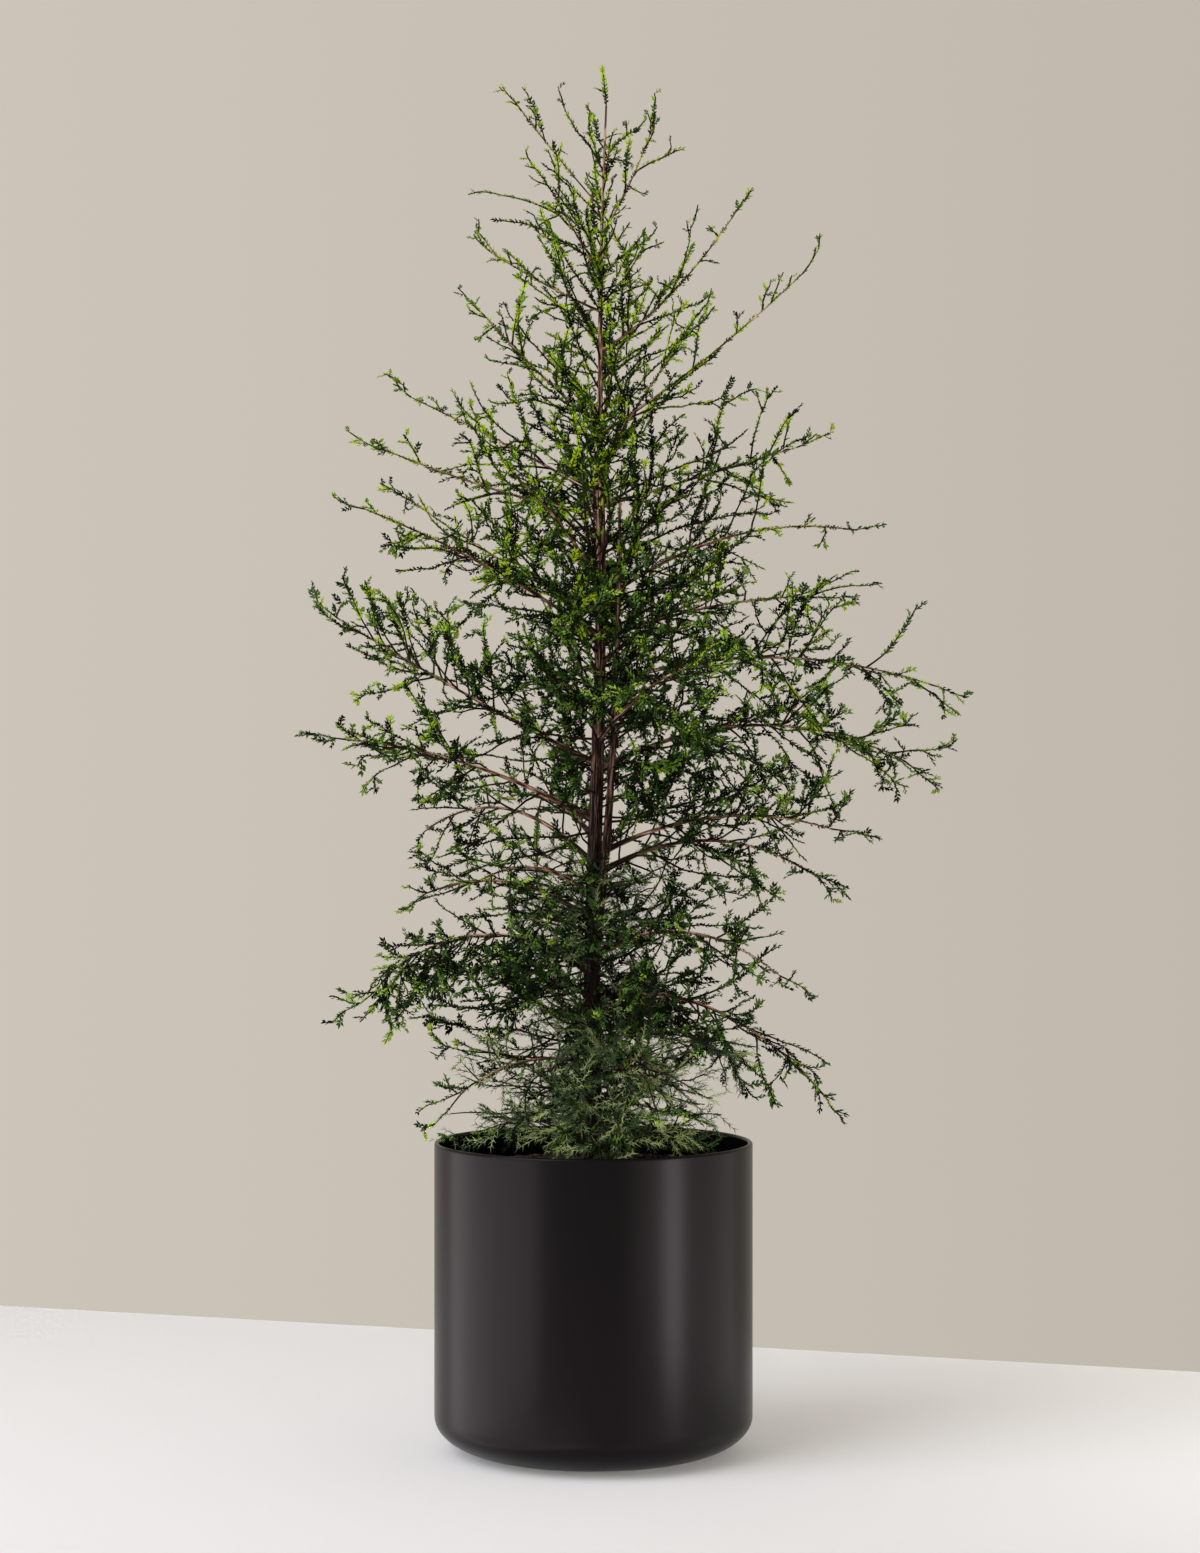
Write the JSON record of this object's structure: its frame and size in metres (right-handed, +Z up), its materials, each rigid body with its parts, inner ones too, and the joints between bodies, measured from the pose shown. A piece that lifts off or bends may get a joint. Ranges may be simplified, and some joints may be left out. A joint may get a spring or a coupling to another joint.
{
  "type": "potted brodie eastern red cedar",
  "caption": "Slim young evergreen tree with open, upswept boughs and fine scale-leaf sprays, growing in a round-footed matte charcoal planter.",
  "frame": {"origin": "centre of the flat underside of the planter", "axes": "+Z up along the planter's axis and the trunk, +X to the right of the tree's front view, +Y towards its back"},
  "size_m": [0.844, 0.7035, 1.7495],
  "materials": {
    "planter": "matte",
    "soil": "matte",
    "bark": "matte",
    "foliage": "matte"
  },
  "bodies": {
    "root": {"depth_01_foliage": "foliage", "depth_02_bough": "bark", "depth_02_foliage": "foliage", "depth_03_foliage": "foliage", "depth_04_foliage": "foliage", "depth_05_bough": "bark", "depth_05_foliage": "foliage", "depth_06_foliage": "foliage", "depth_07_foliage": "foliage", "depth_08_bough": "bark", "depth_08_foliage": "foliage", "depth_09_foliage": "foliage", "depth_10_foliage": "foliage", "depth_11_bough": "bark", "depth_11_foliage": "foliage", "leader_foliage": "foliage", "left_01_foliage": "foliage", "left_02_foliage": "foliage", "left_03_foliage": "foliage", "left_04_bough": "bark", "left_04_foliage": "foliage", "left_05_bough": "bark", "left_05_foliage": "foliage", "left_06_bough": "bark", "left_06_foliage": "foliage", "left_07_bough": "bark", "left_07_foliage": "foliage", "left_08_foliage": "foliage", "left_09_bough": "bark", "left_09_foliage": "foliage", "left_10_foliage": "foliage", "left_11_foliage": "foliage", "left_12_foliage": "foliage", "left_13_foliage": "foliage", "pot": "planter", "right_01_foliage": "foliage", "right_02_bough": "bark", "right_02_foliage": "foliage", "right_03_bough": "bark", "right_03_foliage": "foliage", "right_04_foliage": "foliage", "right_05_bough": "bark", "right_05_foliage": "foliage", "right_06_bough": "bark", "right_06_foliage": "foliage", "right_07_bough": "bark", "right_07_foliage": "foliage", "right_08_foliage": "foliage", "right_09_bough": "bark", "right_09_foliage": "foliage", "right_10_bough": "bark", "right_10_foliage": "foliage", "right_11_bough": "bark", "right_11_foliage": "foliage", "right_12_foliage": "foliage", "right_13_foliage": "foliage", "second_stem_bough": "bark", "second_stem_foliage": "foliage", "soil": "soil", "trunk": "bark"}
  },
  "joints": []
}
